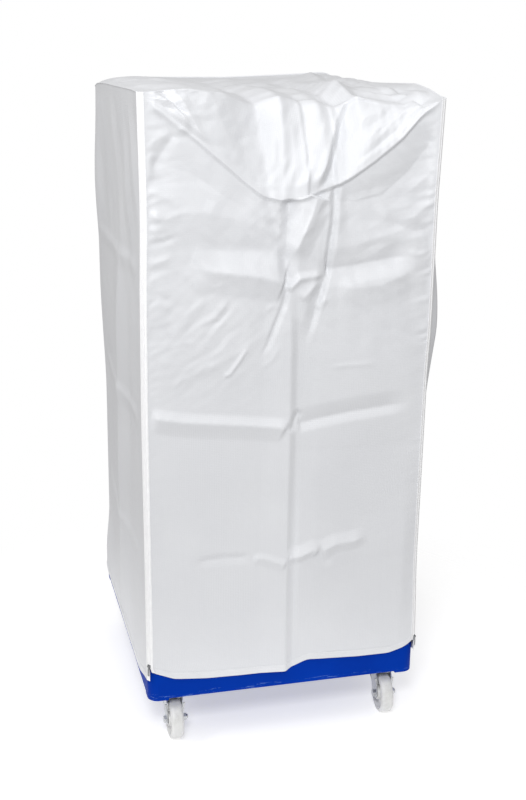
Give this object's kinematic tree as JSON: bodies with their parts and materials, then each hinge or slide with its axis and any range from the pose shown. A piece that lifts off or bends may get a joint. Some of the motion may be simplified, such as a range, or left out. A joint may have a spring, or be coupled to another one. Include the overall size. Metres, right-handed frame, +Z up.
{
  "type": "covered roll container",
  "caption": "Roll container on casters, with a plastic deck, wire mesh walls and a zipped fabric cover that lifts off upwards.",
  "frame": {"origin": "on the floor, under the middle of the deck", "axes": "+Z up, -Y to the front with the zipped flap, +X to the right seen from the front's viewer"},
  "size_m": [0.732, 0.8418, 1.652],
  "materials": {
    "deck_plastic": "moulded, fine grain, light scuffs",
    "wall_steel": "bright zinc plating",
    "caster_zinc": "zinc-plated pressed steel",
    "bearing_steel": "ground steel",
    "wheel_nylon": "satin moulded nylon",
    "cover_fabric": "woven polyethylene tape cloth, creased",
    "hem_fabric": "folded and stitched woven cloth",
    "zip_tape": "knitted polyester tape with a nylon coil",
    "zip_metal": "grey die-cast zinc"
  },
  "bodies": {
    "root": {"deck": "deck_plastic", "left_wall_frame": "wall_steel", "left_wall_uprights": "wall_steel", "left_wall_crosswires": "wall_steel", "right_wall_frame": "wall_steel", "right_wall_uprights": "wall_steel", "right_wall_crosswires": "wall_steel", "rear_wall_frame": "wall_steel", "rear_wall_uprights": "wall_steel", "rear_wall_crosswires": "wall_steel", "wall_clips": "wall_steel", "caster_bolts": "caster_zinc", "front_left_plate": "caster_zinc", "front_left_kingpin": "caster_zinc", "front_left_race": "bearing_steel", "front_right_plate": "caster_zinc", "front_right_kingpin": "caster_zinc", "front_right_race": "bearing_steel", "rear_left_bracket": "caster_zinc", "rear_left_axle": "caster_zinc", "rear_left_nut": "caster_zinc", "rear_right_bracket": "caster_zinc", "rear_right_axle": "caster_zinc", "rear_right_nut": "caster_zinc"},
    "front_left_swivel": {"front_left_fork": "caster_zinc", "front_left_axle": "caster_zinc", "front_left_nut": "caster_zinc"},
    "front_right_swivel": {"front_right_fork": "caster_zinc", "front_right_axle": "caster_zinc", "front_right_nut": "caster_zinc"},
    "front_left_roller": {"front_left_wheel": "wheel_nylon", "front_left_bush": "bearing_steel"},
    "front_right_roller": {"front_right_wheel": "wheel_nylon", "front_right_bush": "bearing_steel"},
    "rear_left_roller": {"rear_left_wheel": "wheel_nylon", "rear_left_bush": "bearing_steel"},
    "rear_right_roller": {"rear_right_wheel": "wheel_nylon", "rear_right_bush": "bearing_steel"},
    "cover": {"cover_roof": "cover_fabric", "cover_left_side": "cover_fabric", "cover_right_side": "cover_fabric", "cover_back": "cover_fabric", "cover_head": "cover_fabric", "cover_hem": "hem_fabric", "left_side_tape": "zip_tape", "right_side_tape": "zip_tape", "left_head_tape": "zip_tape", "right_head_tape": "zip_tape"},
    "flap_upper": {"front_flap_upper": "cover_fabric", "left_upper_tape": "zip_tape", "right_upper_tape": "zip_tape"},
    "flap_lower": {"front_flap_lower": "cover_fabric", "left_lower_tape": "zip_tape", "right_lower_tape": "zip_tape", "flap_hem": "hem_fabric"},
    "left_slider": {"left_zip_slider": "zip_metal"},
    "right_slider": {"right_zip_slider": "zip_metal"},
    "left_pull": {"left_zip_pull": "zip_metal"},
    "right_pull": {"right_zip_pull": "zip_metal"}
  },
  "joints": [
    {"name": "front_left_swivel_turn", "type": "hinge", "parent": "root", "child": "front_left_swivel", "pos_m": [-0.291, -0.344, 0.115], "axis": [0, 0, 1], "continuous": true},
    {"name": "front_right_swivel_turn", "type": "hinge", "parent": "root", "child": "front_right_swivel", "pos_m": [0.291, -0.344, 0.115], "axis": [0, 0, 1], "continuous": true},
    {"name": "front_left_roll", "type": "hinge", "parent": "front_left_swivel", "child": "front_left_roller", "pos_m": [-0.29044, -0.376, 0.054], "axis": [0.9998, 0.0175, 0], "continuous": true},
    {"name": "front_right_roll", "type": "hinge", "parent": "front_right_swivel", "child": "front_right_roller", "pos_m": [0.28933, -0.37596, 0.054], "axis": [0.9986, -0.0523, 0], "continuous": true},
    {"name": "rear_left_roll", "type": "hinge", "parent": "root", "child": "rear_left_roller", "pos_m": [-0.291, 0.344, 0.054], "axis": [1, 0, 0], "continuous": true},
    {"name": "rear_right_roll", "type": "hinge", "parent": "root", "child": "rear_right_roller", "pos_m": [0.291, 0.344, 0.054], "axis": [1, 0, 0], "continuous": true},
    {"name": "cover_lift", "type": "slide", "parent": "root", "child": "cover", "axis": [0, 0, 1], "range_m": [0, 1.5]},
    {"name": "flap_throw", "type": "hinge", "parent": "cover", "child": "flap_upper", "pos_m": [0, -0.4119, 1.385], "axis": [-1, 0, 0], "range_deg": [0, 172]},
    {"name": "flap_fold", "type": "hinge", "parent": "flap_upper", "child": "flap_lower", "pos_m": [0, -0.4119, 1.105], "axis": [-1, 0, 0], "range_deg": [0, 94]},
    {"name": "left_zip_slide", "type": "slide", "parent": "cover", "child": "left_slider", "axis": [0, 0, 1], "range_m": [0, 1.14]},
    {"name": "right_zip_slide", "type": "slide", "parent": "cover", "child": "right_slider", "axis": [0, 0, 1], "range_m": [0, 1.14]},
    {"name": "left_pull_swing", "type": "hinge", "parent": "left_slider", "child": "left_pull", "pos_m": [-0.36261, -0.40938, 0.2305], "axis": [-0.7071, 0.7071, 0], "range_deg": [0, 150]},
    {"name": "right_pull_swing", "type": "hinge", "parent": "right_slider", "child": "right_pull", "pos_m": [0.36261, -0.40938, 0.2305], "axis": [-0.7071, -0.7071, 0], "range_deg": [0, 150]}
  ]
}
